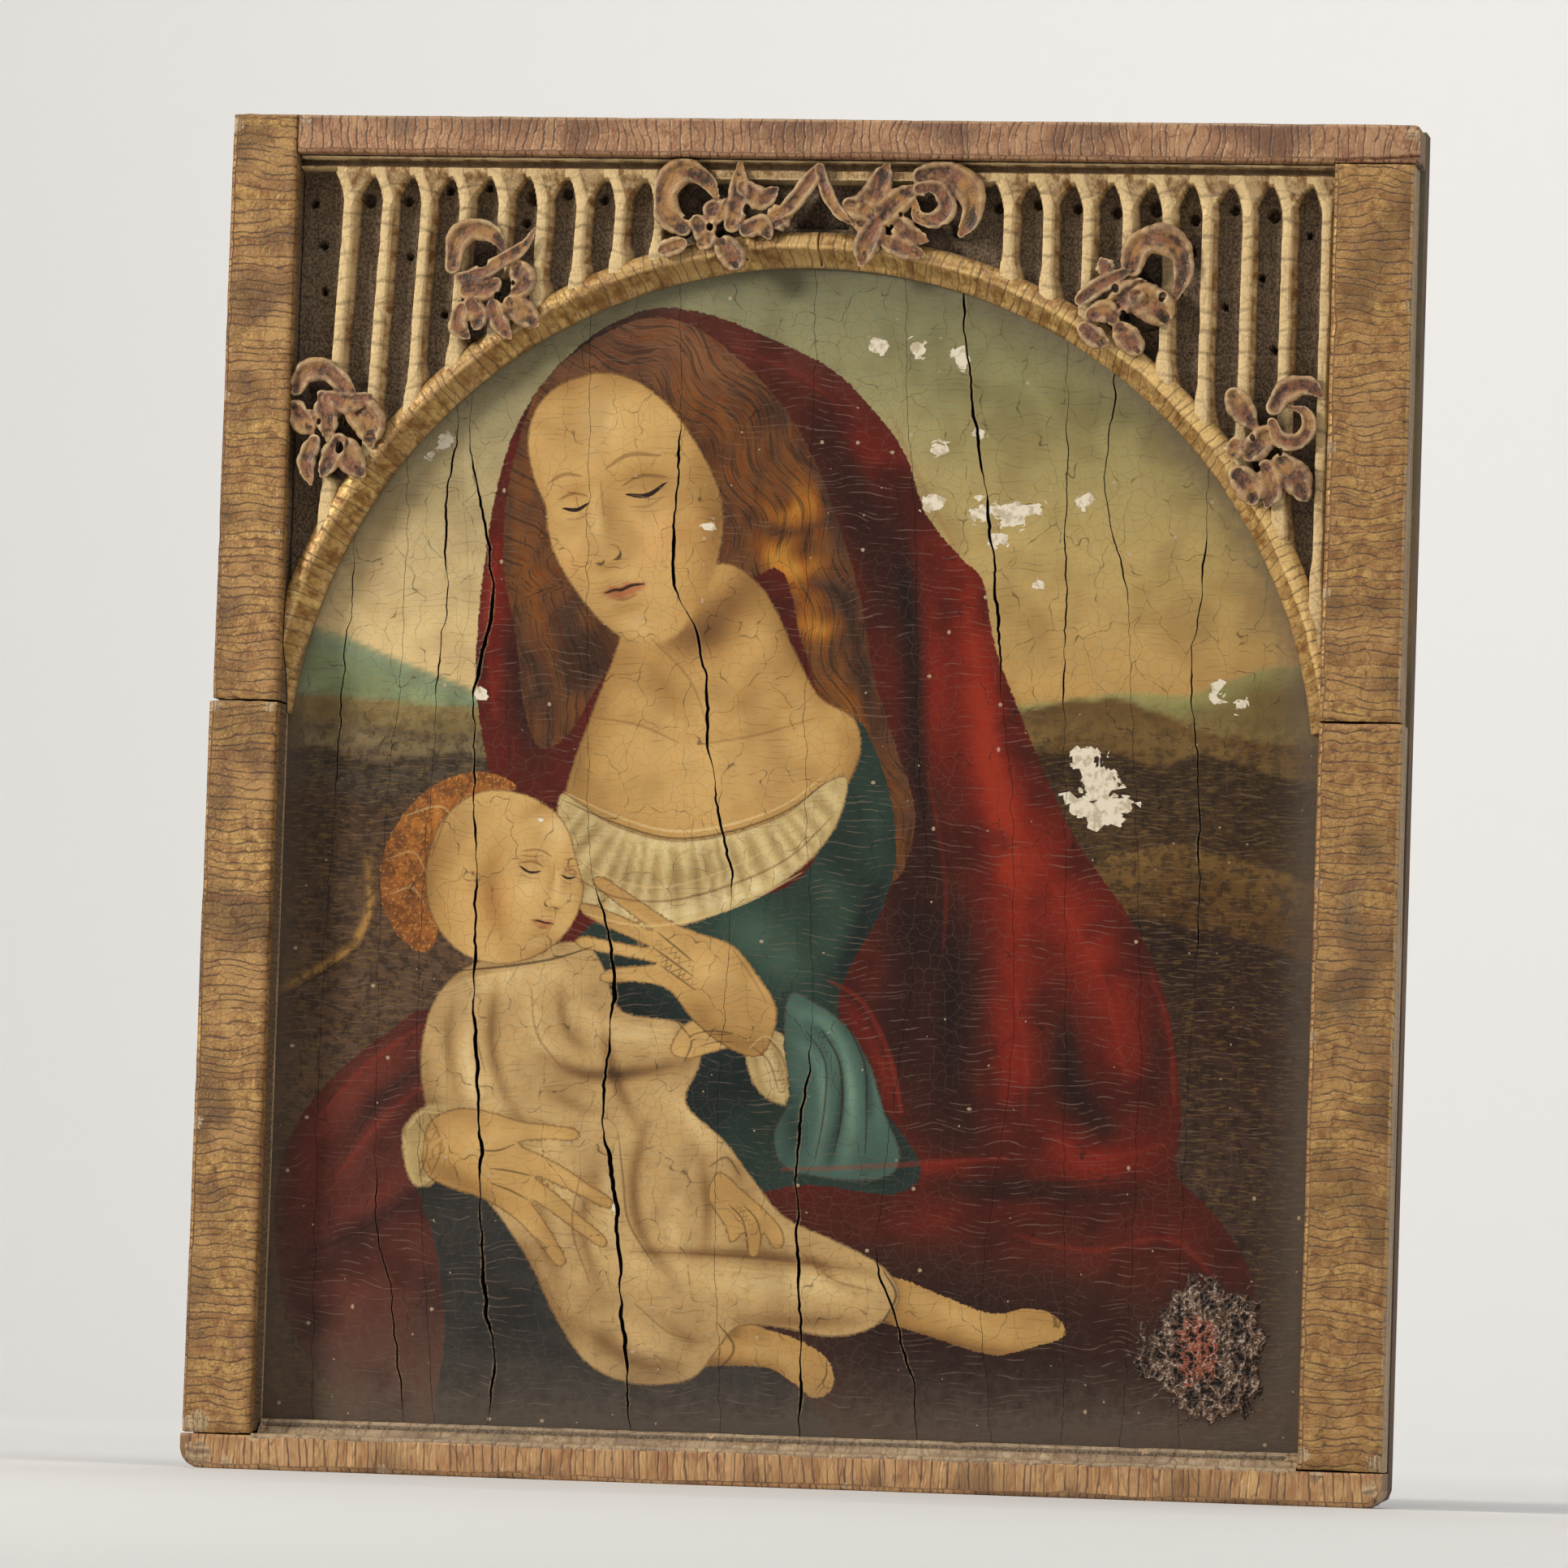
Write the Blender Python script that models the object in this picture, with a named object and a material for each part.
"""Small devotional panel painting in a gilded frame with a carved arch of tracery.

The panel stands upright on its flat bottom edge. The front faces -Y, +X is to the
viewer's right, +Z is up, and the origin is under the middle of the object.
Lengths are in metres.
"""

import math

import bmesh
import bpy
from mathutils import Matrix, Vector

# Overall sizes and the clearance between neighbouring pieces
WIDTH = 0.336
HEIGHT = 0.380
GAP = 0.0003

# Board that carries the painting, and the frame members laid on its front
BOARD_THICK = 0.012
MEMBER_THICK = 0.0157
BOARD_CORNER_R = 0.0055

# Frame members: widths on the face, edge bevels and joints
LEFT_STILE_W = 0.0197
RIGHT_STILE_W = 0.0235
TOP_RAIL_H = 0.0108
BOTTOM_RAIL_H = 0.0095
EDGE_BEVEL = 0.0008
SIGHT_BEVEL = 0.0013
TOP_CORNER_R = 0.0020
STILE_JOINT_LIFT = 0.0028
STILE_STEP = 0.0008

# Moulded sill behind the face of the bottom rail
SILL_RISE = 0.0050
SILL_BEAD = 0.0012
SILL_HOLLOW = 0.0014

# Iron nail in the top rail near the left corner
NAIL_FROM_JOINT = 0.0085
NAIL_HEAD_R = 0.0016
NAIL_HEAD_THICK = 0.0010
NAIL_SHANK_R = 0.0009
NAIL_LENGTH = 0.0090
NAIL_SINK = 0.0004

# Round arch over the painting
ARCH_LEFT_EDGE = 0.0008
ARCH_RIGHT_EDGE = 0.0030
ARCH_HEADROOM = 0.0297
ARCH_FOOT_DROP = 0.1275
ARCH_BEVEL_W = 0.0046
ARCH_FILLET_W = 0.0052
ARCH_STEPS = 44

# Carved tracery above the arch
TRACERY_SETBACK = 0.0050
CROCKET_SETBACK = 0.0016
GROOVE_DEPTH = 0.0060
BAND_H = 0.0050
BAND_COVE_H = 0.0030
BAND_COVE_DEPTH = 0.0028
BAR_PITCH = 0.0111
BAR_W = 0.0032
BAR_ARRIS_W = 0.0016
BAR_LEAN = 0.045
FIRST_BAR_LEFT = 0.0143
FIRST_BAR_RIGHT = 0.0020
BARS_PER_SIDE = 9
HEAD_SHOULDER = 0.0052
HEAD_HAUNCH = 0.0022

# Ogee point over the middle of the arch
OGEE_SHIFT = 0.0030
OGEE_LEFT = 0.0170
OGEE_RIGHT = 0.0130
OGEE_LEG_W = 0.0046
OGEE_EYE_LIFT = 0.0015
OGEE_TOP_CLEAR = 0.0006

# Crockets: angle along the arch in degrees, reach from its edge and size as shares of the usual size,
# turn in degrees
CROCKET_SIZE = 0.0160
CROCKETS = (
    (143.5, 1.0625, 1.0, 12.0),
    (122.0, 1.1875, 0.96875, 6.0),
    (99.0, 0.9375, 0.9875, 0.0),
    (79.5, 1.0, 1.05, 0.0),
    (56.5, 1.28125, 1.0, -6.0),
    (35.3, 1.1875, 1.03125, -12.0),
)
# Lobes of one crocket as shares of its size: across, up, half width, half height, turn
LOBES = (
    (-0.46, 0.58, 0.44, 0.34, 20.0),
    (0.28, 0.56, 0.60, 0.17, 32.0),
    (-0.34, 0.00, 0.42, 0.36, -10.0),
    (0.44, -0.02, 0.36, 0.30, 25.0),
    (0.22, -0.56, 0.40, 0.26, -20.0),
    (-0.36, -0.62, 0.44, 0.28, 35.0),
)

# Shrinkage cracks: width and depth in the board, and the split at the arch's top
CRACK_W = 0.0010
CRACK_DEPTH = 0.0018
SPLIT_W = 0.0009
SPLIT_DEPTH = 0.0060
# Routes of the main cracks as shares of the board's width and height
CRACKS = (
    ((-0.283, 0.737), (-0.271, 0.645), (-0.283, 0.560), (-0.277, 0.380), (-0.263, 0.190), (-0.252, 0.050)),
    ((-0.115, 0.763), (-0.117, 0.660), (-0.089, 0.590), (-0.074, 0.500), (-0.060, 0.436)),
    ((-0.170, 0.420), (-0.157, 0.340), (-0.163, 0.270), (-0.144, 0.170), (-0.129, 0.045)),
    ((0.010, 0.330), (0.003, 0.220), (0.009, 0.130), (0.012, 0.042)),
    ((0.117, 0.870), (0.136, 0.750), (0.150, 0.650), (0.158, 0.590)),
)

# Levels and edges that follow from the sizes above
Y_BACK = (BOARD_THICK + GAP + MEMBER_THICK) / 2
Y_BOARD = Y_BACK - BOARD_THICK
Y_MEMBER = Y_BOARD - GAP
Y_FRONT = Y_MEMBER - MEMBER_THICK
LEFT = -WIDTH / 2
RIGHT = WIDTH / 2
INNER_LEFT = LEFT + LEFT_STILE_W
INNER_RIGHT = RIGHT - RIGHT_STILE_W
INNER_TOP = HEIGHT - TOP_RAIL_H

ARCH_X0 = INNER_LEFT + ARCH_LEFT_EDGE
ARCH_X1 = INNER_RIGHT - ARCH_RIGHT_EDGE
ARCH_R = (ARCH_X1 - ARCH_X0) / 2
ARCH_CX = (ARCH_X0 + ARCH_X1) / 2
ARCH_TOP = INNER_TOP - ARCH_HEADROOM
ARCH_CZ = ARCH_TOP - ARCH_R
ARCH_OUTER = ARCH_BEVEL_W + ARCH_FILLET_W
ARCH_FOOT = ARCH_TOP - ARCH_FOOT_DROP
STILE_JOINT_Z = ARCH_FOOT + STILE_JOINT_LIFT

Y_TRACERY = Y_FRONT + TRACERY_SETBACK
Y_CROCKET = Y_FRONT + CROCKET_SETBACK
Y_FLOOR = Y_TRACERY + GROOVE_DEPTH
Y_ROOT = (Y_FLOOR + Y_MEMBER) / 2
TRACERY_LEFT = INNER_LEFT + GAP
TRACERY_RIGHT = INNER_RIGHT - GAP
TRACERY_TOP = INNER_TOP - GAP
BAND_BASE = TRACERY_TOP - BAND_H

MERGE = 1e-6
AXES = {"X": (1, 2), "Y": (0, 2), "Z": (0, 1)}


def clear_scene():
    for item in list(bpy.data.objects):
        bpy.data.objects.remove(item, do_unlink=True)


def material(name, colour, roughness, metallic=0.0):
    mat = bpy.data.materials.new(name)
    mat.use_nodes = True
    shader = mat.node_tree.nodes["Principled BSDF"]
    shader.inputs["Base Color"].default_value = (*colour, 1.0)
    shader.inputs["Roughness"].default_value = roughness
    shader.inputs["Metallic"].default_value = metallic
    return mat


def add_object(name, bm, mat=None):
    bmesh.ops.recalc_face_normals(bm, faces=bm.faces)
    mesh = bpy.data.meshes.new(name)
    bm.to_mesh(mesh)
    bm.free()
    obj = bpy.data.objects.new(name, mesh)
    if mat is not None:
        mesh.materials.append(mat)
    bpy.context.scene.collection.objects.link(obj)
    return obj


def prism(outline, axis, lo, hi):
    """Closed solid: an outline in the plane across the axis, drawn out from lo to hi."""
    first, second = AXES[axis]
    along = 3 - first - second
    bm = bmesh.new()
    ends = []
    for level in (lo, hi):
        ring = []
        for a, b in outline:
            point = [0.0, 0.0, 0.0]
            point[first], point[second], point[along] = a, b, level
            ring.append(bm.verts.new(point))
        ends.append(ring)
    bm.faces.new(ends[0])
    bm.faces.new(reversed(ends[1]))
    count = len(outline)
    for i in range(count):
        j = (i + 1) % count
        bm.faces.new((ends[0][i], ends[0][j], ends[1][j], ends[1][i]))
    return bm


def box(x0, x1, y0, y1, z0, z1):
    return prism(((x0, z0), (x1, z0), (x1, z1), (x0, z1)), "Y", y0, y1)


def rounded(x0, x1, z0, z1, radii, steps=5):
    """Rectangle with its own radius at each corner: bottom left, bottom right, top right, top left."""
    corners = (
        (x0 + radii[0], z0 + radii[0], 180), (x1 - radii[1], z0 + radii[1], 270),
        (x1 - radii[2], z1 - radii[2], 0), (x0 + radii[3], z1 - radii[3], 90),
    )
    points = []
    for (cx, cz, start), radius in zip(corners, radii):
        count = steps if radius > 0 else 0
        for i in range(count + 1):
            angle = math.radians(start + 90 * i / max(count, 1))
            points.append((cx + radius * math.cos(angle), cz + radius * math.sin(angle)))
    return points


def cylinder(x, z, radius, y0, y1, sides=16):
    ring = []
    for i in range(sides):
        angle = 2 * math.pi * i / sides
        ring.append((x + radius * math.cos(angle), z + radius * math.sin(angle)))
    return prism(ring, "Y", y0, y1)


def clean(mesh):
    """Merge stray points, drop needless edges in flat areas and leave triangles."""
    bm = bmesh.new()
    bm.from_mesh(mesh)
    bmesh.ops.remove_doubles(bm, verts=bm.verts, dist=MERGE)
    bmesh.ops.dissolve_degenerate(bm, edges=bm.edges, dist=MERGE)
    bmesh.ops.dissolve_limit(bm, angle_limit=math.radians(0.02), verts=bm.verts, edges=bm.edges)
    bmesh.ops.triangulate(bm, faces=bm.faces)
    bm.to_mesh(mesh)
    bm.free()


def combine(target, pieces, operation):
    """Join the pieces to the target, cut them from it, or keep what they share."""
    group = bpy.data.collections.new(target.name + "_tools")
    bpy.context.scene.collection.children.link(group)
    tools = []
    for i, bm in enumerate(pieces):
        tool = add_object(f"{target.name}_tool_{i}", bm)
        bpy.context.scene.collection.objects.unlink(tool)
        group.objects.link(tool)
        tools.append(tool)
    change = target.modifiers.new("Boolean", "BOOLEAN")
    change.solver = "EXACT"
    change.operation = operation
    change.operand_type = "COLLECTION"
    change.collection = group
    bpy.context.view_layer.update()
    graph = bpy.context.evaluated_depsgraph_get()
    result = bpy.data.meshes.new_from_object(target.evaluated_get(graph))
    target.modifiers.clear()
    clean(result)
    old = target.data
    target.data = result
    bpy.data.meshes.remove(old)
    result.name = target.name
    for tool in tools:
        bpy.data.objects.remove(tool, do_unlink=True)
    bpy.data.collections.remove(group)
    return target


def finish(obj, angle=30.0):
    """Shade the round parts smooth and keep the sharp edges."""
    clean(obj.data)
    obj.data.shade_smooth()
    obj.data.set_sharp_from_angle(angle=math.radians(angle))


def stile(name, x0, x1, z0, z1, inner_at_right, mat):
    """Upright frame member with bevelled front edges, wider on the side of the picture."""
    left = EDGE_BEVEL if inner_at_right else SIGHT_BEVEL
    right = SIGHT_BEVEL if inner_at_right else EDGE_BEVEL
    section = (
        (x0, Y_MEMBER), (x0, Y_FRONT + left), (x0 + left, Y_FRONT),
        (x1 - right, Y_FRONT), (x1, Y_FRONT + right), (x1, Y_MEMBER),
    )
    return add_object(name, prism(section, "Z", z0, z1), mat)


def crack_cutter(route, y_face, width, depth):
    """Wedge-shaped groove that follows a route down the face and closes at both ends."""
    bm = bmesh.new()
    rings = []
    last = len(route) - 1
    overhang = depth * 0.5
    for i, (x, z) in enumerate(route):
        share = 0.15 if i in (0, last) else 1.0
        half = width * share / 2
        flare = half * (1 + overhang / depth)
        rings.append([
            bm.verts.new((x - flare, y_face - overhang, z)),
            bm.verts.new((x + flare, y_face - overhang, z)),
            bm.verts.new((x, y_face + depth * share, z)),
        ])
    for upper, lower in zip(rings, rings[1:]):
        for i in range(3):
            j = (i + 1) % 3
            bm.faces.new((upper[i], upper[j], lower[j], lower[i]))
    bm.faces.new(rings[0])
    bm.faces.new(reversed(rings[-1]))
    return bm


def arch_ring(profile, start, end, steps):
    """Moulding turned round the arch's centre: the profile is radius against depth."""
    bm = bmesh.new()
    rings = []
    for i in range(steps + 1):
        angle = math.radians(start + (end - start) * i / steps)
        ring = []
        for radius, y in profile:
            x = ARCH_CX + radius * math.cos(angle)
            z = ARCH_CZ + radius * math.sin(angle)
            ring.append(bm.verts.new((x, y, z)))
        rings.append(ring)
    count = len(profile)
    for near, far in zip(rings, rings[1:]):
        for i in range(count):
            j = (i + 1) % count
            bm.faces.new((near[i], near[j], far[j], far[i]))
    bm.faces.new(rings[0])
    bm.faces.new(reversed(rings[-1]))
    return bm


def arch_height(x, outside):
    """Height of the arch's edge above a point, a set distance outside the opening."""
    across = min(abs(x - ARCH_CX), ARCH_R + outside)
    return ARCH_CZ + math.sqrt((ARCH_R + outside) ** 2 - across ** 2)


def bar_places():
    """Middle lines of the upright bars on both sides of the ogee point."""
    left = [TRACERY_LEFT + FIRST_BAR_LEFT + BAR_PITCH * i for i in range(BARS_PER_SIDE)]
    right = [TRACERY_RIGHT - FIRST_BAR_RIGHT - BAR_PITCH * i for i in range(BARS_PER_SIDE)]
    return left, right


def bar(x, lean):
    """Upright bar with a narrow front arris, from the band down into the arch moulding."""
    bottom = arch_height(x, ARCH_BEVEL_W)
    drop = BAND_BASE - bottom
    half, arris = BAR_W / 2, BAR_ARRIS_W / 2
    section = (
        (-half, Y_ROOT), (-half, Y_TRACERY + (half - arris)), (-arris, Y_TRACERY),
        (arris, Y_TRACERY), (half, Y_TRACERY + (half - arris)), (half, Y_ROOT),
    )
    bm = prism(section, "Z", bottom, BAND_BASE + BAND_H * 0.4)
    for vert in bm.verts:
        share = max(0.0, (BAND_BASE - vert.co.z) / max(drop, GAP))
        vert.co.x += x - lean * drop * share
    return bm


def band(left_bars, right_bars):
    """Flat band under the top rail, cut along its lower edge into pointed groove heads."""
    half = BAR_W / 2
    points = [(TRACERY_LEFT - GAP, TRACERY_TOP + GAP), (TRACERY_LEFT - GAP, BAND_BASE)]
    groups = (
        [TRACERY_LEFT - half] + left_bars,
        sorted(right_bars) + [TRACERY_RIGHT + half],
    )
    for group in groups:
        for a, b in zip(group, group[1:]):
            middle = (a + b) / 2
            reach = (b - a) / 2 - half * 0.6
            if reach < half:
                continue
            for side in (-1, 1):
                foot = (middle + side * reach, BAND_BASE - HEAD_SHOULDER)
                haunch = (middle + side * reach * 0.62, BAND_BASE - HEAD_HAUNCH)
                root = (middle + side * (reach + half * 0.4), BAND_BASE - HEAD_SHOULDER)
                steps = (root, foot, haunch) if side < 0 else (haunch, foot, root)
                points.extend(steps)
                if side < 0:
                    points.append((middle, BAND_BASE))
        points.append((group[-1] + half * 0.6, BAND_BASE))
    points.append((TRACERY_RIGHT + GAP, BAND_BASE))
    points.append((TRACERY_RIGHT + GAP, TRACERY_TOP + GAP))
    clean = []
    for point in points:
        if not clean or point[0] > clean[-1][0] + 1e-5 or abs(point[1] - clean[-1][1]) > 1e-5:
            clean.append(point)
    return prism(clean, "Y", Y_TRACERY, Y_ROOT)


def ogee_leg(side, half_width):
    """One curved leg of the ogee point, from the arch up to the tip."""
    tip = TRACERY_TOP - OGEE_TOP_CLEAR
    base = arch_height(ARCH_CX, ARCH_BEVEL_W)
    eye = arch_height(ARCH_CX, ARCH_OUTER) + OGEE_EYE_LIFT
    middle = ARCH_CX + OGEE_SHIFT
    steps = 8
    outer = []
    for i in range(steps + 1):
        t = i / steps
        outer.append((side * half_width * (1 - t) ** 1.6, base + (tip - base) * t))
    eye_half = half_width - OGEE_LEG_W * 2
    eye_top = tip - OGEE_LEG_W * 2
    inner = [(-side * OGEE_LEG_W * 0.05, tip), (-side * OGEE_LEG_W * 0.05, eye_top)]
    inner += [(side * eye_half, eye), (side * eye_half * 0.8, base)]
    outline = [(middle + x, z) for x, z in outer[:-1] + inner]
    return prism(outline, "Y", Y_TRACERY + GAP, Y_ROOT)


def crocket(angle, reach, size, turn):
    """Cluster of leaf lobes standing on the arch, mirrored on the right-hand side."""
    radius = ARCH_R + reach
    x = ARCH_CX + radius * math.cos(math.radians(angle))
    z = ARCH_CZ + radius * math.sin(math.radians(angle))
    side = 1 if angle > 90 else -1
    depth = (Y_ROOT - Y_CROCKET) / 2
    spin = Matrix.Rotation(math.radians(-turn), 4, "Y")
    parts = []
    for across, up, half_w, half_h, slant in LOBES:
        centre = spin @ Vector((side * across * size, 0, up * size))
        bm = bmesh.new()
        bmesh.ops.create_icosphere(bm, subdivisions=2, radius=1.0)
        shape = (
            Matrix.Translation((x + centre.x, (Y_ROOT + Y_CROCKET) / 2, z + centre.z))
            @ Matrix.Rotation(math.radians(-slant * side), 4, "Y")
            @ Matrix.Diagonal((half_w * size, depth, half_h * size, 1.0))
        )
        bmesh.ops.transform(bm, matrix=shape, verts=bm.verts)
        parts.append(bm)
    return parts


clear_scene()
gold = material("worn_gold", (0.44, 0.30, 0.15), 0.55, 0.35)
dark_gold = material("dusty_gold", (0.30, 0.21, 0.12), 0.65, 0.20)
paint = material("painted_board", (0.26, 0.15, 0.09), 0.50)
iron = material("nail_iron", (0.06, 0.05, 0.04), 0.70, 0.60)

# Board of upright grain with the painting on its front, opened by shrinkage cracks
outline = rounded(LEFT, RIGHT, 0, HEIGHT, (BOARD_CORNER_R, BOARD_CORNER_R, TOP_CORNER_R, 0))
panel = add_object("painted_panel", prism(outline, "Y", Y_BOARD, Y_BACK), paint)
cutters = []
for route in CRACKS:
    points = [(u * WIDTH, v * HEIGHT) for u, v in route]
    cutters.append(crack_cutter(points, Y_BOARD, CRACK_W, CRACK_DEPTH))
combine(panel, cutters, "DIFFERENCE")
finish(panel)

# Top rail, butted against the left stile and lying over the right one
outline = rounded(INNER_LEFT + GAP, RIGHT, INNER_TOP, HEIGHT, (0, 0, TOP_CORNER_R, 0))
top_rail = add_object("top_rail", prism(outline, "Y", Y_FRONT, Y_MEMBER), gold)
nail_x = INNER_LEFT + NAIL_FROM_JOINT
nail_z = (INNER_TOP + HEIGHT) / 2
nail_face = Y_FRONT + NAIL_SINK
head_back = nail_face + NAIL_HEAD_THICK
shank_end = nail_face + NAIL_LENGTH
combine(top_rail, [
    cylinder(nail_x, nail_z, NAIL_HEAD_R + GAP, Y_FRONT - GAP, head_back + GAP),
    cylinder(nail_x, nail_z, NAIL_SHANK_R + GAP, Y_FRONT - GAP, shank_end + GAP),
], "DIFFERENCE")
finish(top_rail)

nail = add_object("corner_nail", cylinder(nail_x, nail_z, NAIL_HEAD_R, nail_face, head_back), iron)
combine(nail, [cylinder(nail_x, nail_z, NAIL_SHANK_R, head_back - GAP, shank_end)], "UNION")
finish(nail)

# Bottom rail with rounded ends, and its sill sloping up to the painting
outline = rounded(LEFT, RIGHT, 0, BOTTOM_RAIL_H, (BOARD_CORNER_R, BOARD_CORNER_R, 0, 0))
bottom_rail = add_object("bottom_rail", prism(outline, "Y", Y_FRONT, Y_MEMBER), gold)
sill_top = BOTTOM_RAIL_H + SILL_RISE
slope_y0 = Y_FRONT + SILL_BEAD * 2
slope_y1 = Y_MEMBER - SILL_BEAD * 2
sill = [(Y_FRONT + GAP, BOTTOM_RAIL_H - SILL_BEAD), (Y_FRONT + GAP, BOTTOM_RAIL_H)]
sill += [(Y_FRONT + SILL_BEAD, BOTTOM_RAIL_H + SILL_BEAD * 0.6), (slope_y0, BOTTOM_RAIL_H + SILL_BEAD * 0.4)]
for step in range(1, 6):
    share = step / 6
    dip = SILL_HOLLOW * math.sin(math.pi * share)
    height = BOTTOM_RAIL_H + SILL_BEAD * 0.4 + (SILL_RISE - SILL_BEAD * 0.8) * share
    sill.append((slope_y0 + (slope_y1 - slope_y0) * share, height - dip))
sill += [(slope_y1, sill_top - SILL_BEAD * 0.4), (Y_MEMBER - SILL_BEAD, sill_top)]
sill += [(Y_MEMBER, sill_top - SILL_BEAD * 0.5), (Y_MEMBER, BOTTOM_RAIL_H - SILL_BEAD)]
combine(bottom_rail, [prism(sill, "X", INNER_LEFT + GAP, INNER_RIGHT - GAP)], "UNION")
finish(bottom_rail)

# Stiles, each in two lengths that meet at an open joint
stile_base = BOTTOM_RAIL_H + GAP
joint_low = STILE_JOINT_Z - GAP
stiles = (
    ("left_stile_lower", LEFT, INNER_LEFT, stile_base, joint_low, True),
    ("left_stile_upper", LEFT + STILE_STEP, INNER_LEFT, STILE_JOINT_Z, HEIGHT, True),
    ("right_stile_lower", INNER_RIGHT, RIGHT, stile_base, joint_low, False),
    ("right_stile_upper", INNER_RIGHT, RIGHT - STILE_STEP, STILE_JOINT_Z, INNER_TOP - GAP, False),
)
for name, x0, x1, z0, z1, inner_at_right in stiles:
    finish(stile(name, x0, x1, z0, z1, inner_at_right, gold))

# Arch and tracery, carved from one board: ground, moulding, bars, band, ogee and crockets
ground = box(TRACERY_LEFT, TRACERY_RIGHT, Y_FLOOR, Y_MEMBER, ARCH_FOOT, TRACERY_TOP)
tracery = add_object("arch_tracery", ground, dark_gold)
opening = cylinder(ARCH_CX, ARCH_CZ, ARCH_R + ARCH_BEVEL_W / 2, Y_FRONT, Y_BOARD, ARCH_STEPS * 2)
combine(tracery, [opening], "DIFFERENCE")
arris = ARCH_R + ARCH_BEVEL_W
moulding = (
    (ARCH_R, Y_MEMBER), (ARCH_R + GAP, Y_MEMBER - GAP * 2), (ARCH_R + ARCH_BEVEL_W * 0.55, Y_ROOT - GAP),
    (arris, Y_TRACERY + EDGE_BEVEL), (arris + EDGE_BEVEL, Y_TRACERY),
    (arris + ARCH_FILLET_W * 0.7, Y_TRACERY + EDGE_BEVEL), (arris + ARCH_FILLET_W, Y_TRACERY + EDGE_BEVEL * 4),
    (arris + ARCH_FILLET_W, Y_MEMBER),
)
left_bars, right_bars = bar_places()
carving = [arch_ring(moulding, 0.0, 180.0, ARCH_STEPS)]
carving += [bar(x, BAR_LEAN) for x in left_bars]
carving += [bar(x, 0.0) for x in right_bars]
carving.append(band(left_bars, right_bars))
carving.append(ogee_leg(-1, OGEE_LEFT))
carving.append(ogee_leg(1, OGEE_RIGHT))
for angle, reach, size, turn in CROCKETS:
    carving += crocket(angle, reach * CROCKET_SIZE, size * CROCKET_SIZE, turn)
combine(tracery, carving, "UNION")
trim = box(TRACERY_LEFT, TRACERY_RIGHT, Y_FRONT, Y_MEMBER, ARCH_FOOT, TRACERY_TOP)
combine(tracery, [trim], "INTERSECT")
cove = box(
    TRACERY_LEFT - GAP, TRACERY_RIGHT + GAP, Y_FRONT - GAP, Y_TRACERY + BAND_COVE_DEPTH,
    TRACERY_TOP - BAND_COVE_H, TRACERY_TOP + GAP,
)
split_top = TRACERY_TOP - BAND_COVE_H
split_x = ARCH_CX + OGEE_SHIFT
split = (
    (split_x, split_top), (split_x + SPLIT_W * 0.6, (split_top + ARCH_TOP) / 2),
    (split_x - SPLIT_W, ARCH_TOP - GAP * 2),
)
combine(tracery, [cove, crack_cutter(split, Y_TRACERY, SPLIT_W, SPLIT_DEPTH)], "DIFFERENCE")
finish(tracery)
